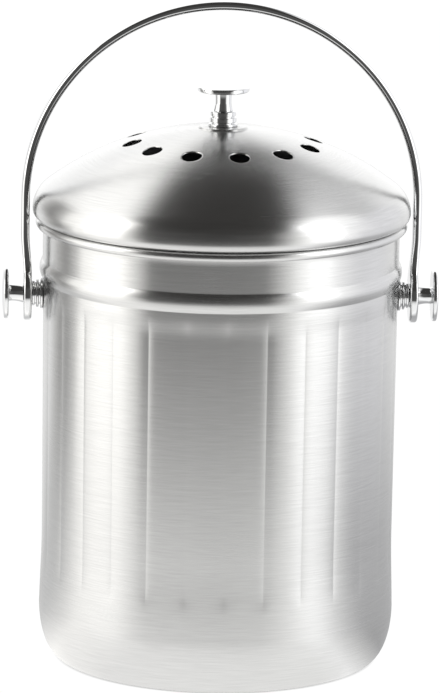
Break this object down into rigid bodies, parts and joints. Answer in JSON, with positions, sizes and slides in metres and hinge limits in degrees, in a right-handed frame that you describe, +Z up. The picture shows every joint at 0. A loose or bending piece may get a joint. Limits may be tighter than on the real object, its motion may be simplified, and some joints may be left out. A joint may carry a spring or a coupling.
{
  "type": "compost caddy",
  "caption": "Round steel countertop compost pail with pressed panels, a vented domed lift-off lid with a knob and carbon filter, and an arched swing handle.",
  "frame": {"origin": "centre of the circle on which the pail stands", "axes": "+Z up, +X along the handle's pivots to the right, -Y towards the front"},
  "size_m": [0.2124, 0.1834, 0.3237],
  "materials": {
    "pail_steel": "brushed round the pail",
    "lid_steel": "brushed in circles round the knob",
    "chrome": "bright plated",
    "fastener_steel": "plain stainless",
    "seal_rubber": "moulded",
    "retainer_plastic": "moulded, fine matt",
    "carbon_felt": "open black felt"
  },
  "bodies": {
    "pail": {"pail_shell": "pail_steel", "left_seal": "seal_rubber", "left_washer": "fastener_steel", "left_pivot_screw": "fastener_steel", "left_ferrule": "chrome", "left_knob": "chrome", "right_seal": "seal_rubber", "right_washer": "fastener_steel", "right_pivot_screw": "fastener_steel", "right_ferrule": "chrome", "right_knob": "chrome"},
    "bail": {"bail_arch": "chrome", "bail_left_arm": "chrome", "bail_right_arm": "chrome"},
    "lid": {"lid_shell": "lid_steel", "lid_locating_ring": "lid_steel", "lid_knob_washer": "fastener_steel", "lid_knob_screw": "fastener_steel", "lid_knob_ferrule": "chrome", "lid_knob": "chrome", "filter_holder": "lid_steel"},
    "filter": {"filter_retainer": "retainer_plastic", "charcoal_filter": "carbon_felt"}
  },
  "joints": [
    {"name": "bail_swing", "type": "hinge", "parent": "pail", "child": "bail", "pos_m": [0, 0, 0.1796], "axis": [1, 0, 0], "range_deg": [-139, 139]},
    {"name": "lid_lift", "type": "slide", "parent": "pail", "child": "lid", "axis": [0, 0, 1], "range_m": [0, 0.009]},
    {"name": "filter_release", "type": "slide", "parent": "lid", "child": "filter", "axis": [0, 0, -1], "range_m": [0, 0.035]}
  ]
}
